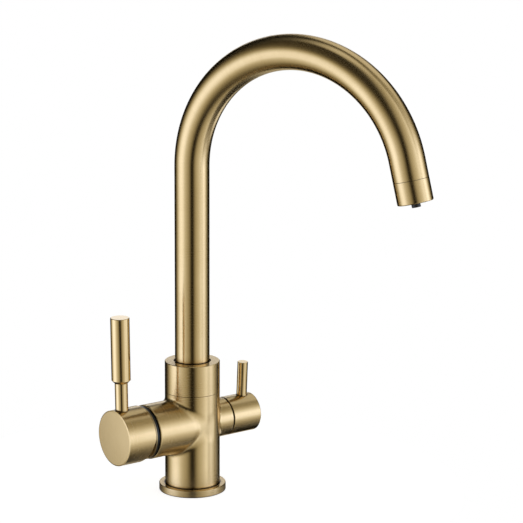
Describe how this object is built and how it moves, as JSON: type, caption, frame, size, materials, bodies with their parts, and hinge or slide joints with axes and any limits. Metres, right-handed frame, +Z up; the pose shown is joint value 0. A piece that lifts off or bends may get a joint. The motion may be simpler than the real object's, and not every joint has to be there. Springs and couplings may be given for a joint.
{
  "type": "three way filtered water tap",
  "caption": "Deck mounted swan-neck kitchen tap in brushed antique brass: mixer lever on one arm, filtered water lever on the other, and a separate nozzle in the outlet.",
  "frame": {"origin": "centre of the column's foot, on the worktop", "axes": "+Z up along the column, -Y towards the person at the sink, -X along the mixer arm and +X along the filter arm"},
  "size_m": [0.1642, 0.2291, 0.3808],
  "materials": {
    "brushed_gold": "brushed satin antique brass",
    "polished_gold": "polished antique brass",
    "raw_brass": "as turned",
    "black_plastic": "satin",
    "white_plastic": "moulded",
    "clear_hose": "smooth",
    "white_ceramic": "ground",
    "black_rubber": "matt",
    "stainless_steel": "plain"
  },
  "bodies": {
    "fixed_body": {"tap_body": "brushed_gold", "base_ring": "brushed_gold", "base_seal": "black_rubber", "collar": "brushed_gold", "spout_slide_ring": "white_plastic", "spout_screw": "stainless_steel", "filter_stem": "raw_brass", "stem_o_ring": "black_rubber", "cartridge_seals": "black_rubber", "cartridge_base": "white_plastic", "cartridge_fixed_disc": "white_ceramic", "cartridge_housing": "white_plastic", "cartridge_nut": "raw_brass", "cartridge_cover": "black_plastic", "valve_seat_seal": "black_rubber", "valve_body": "raw_brass", "valve_fixed_disc": "white_ceramic"},
    "spout": {"spout_tube": "brushed_gold", "spout_foot": "raw_brass", "spout_o_rings": "black_rubber", "filter_hose": "clear_hose", "outlet_sleeve": "brushed_gold", "aerator": "white_plastic", "aerator_mesh": "stainless_steel", "filter_nozzle": "black_plastic"},
    "mixer_guide": {"cartridge_rotor": "white_plastic", "cartridge_pivot_pin": "stainless_steel"},
    "mixer_handle": {"cartridge_spindle": "raw_brass", "mixer_cap": "brushed_gold", "mixer_lever_stem": "polished_gold", "mixer_lever_grip": "polished_gold", "mixer_grub_screw": "stainless_steel"},
    "mixer_disc": {"cartridge_moving_disc": "white_ceramic", "cartridge_driver": "white_plastic"},
    "filter_handle": {"valve_spindle": "raw_brass", "valve_moving_disc": "white_ceramic", "valve_o_ring": "black_rubber", "filter_cap": "brushed_gold", "filter_lever": "polished_gold", "filter_grub_screw": "stainless_steel"}
  },
  "joints": [
    {"name": "spout_swivel", "type": "hinge", "parent": "fixed_body", "child": "spout", "pos_m": [0, 0, 0.1], "axis": [0, 0, 1], "continuous": true},
    {"name": "mixer_turn", "type": "hinge", "parent": "fixed_body", "child": "mixer_guide", "pos_m": [-0.042, 0, 0.056], "axis": [-1, 0, 0], "range_deg": [-45, 45]},
    {"name": "mixer_tilt", "type": "hinge", "parent": "mixer_guide", "child": "mixer_handle", "pos_m": [-0.042, 0, 0.056], "axis": [0, -1, 0], "range_deg": [0, 17]},
    {"name": "mixer_disc_slide", "type": "slide", "parent": "mixer_guide", "child": "mixer_disc", "axis": [0, 0, 1], "range_m": [0, 0.0029]},
    {"name": "filter_turn", "type": "hinge", "parent": "fixed_body", "child": "filter_handle", "pos_m": [0.04, 0, 0.056], "axis": [1, 0, 0], "range_deg": [-3.1, 86.9]}
  ],
  "couplings": [
    {"joint": "mixer_disc_slide", "follows": "mixer_tilt", "m_per_rad": 0.0094}
  ]
}
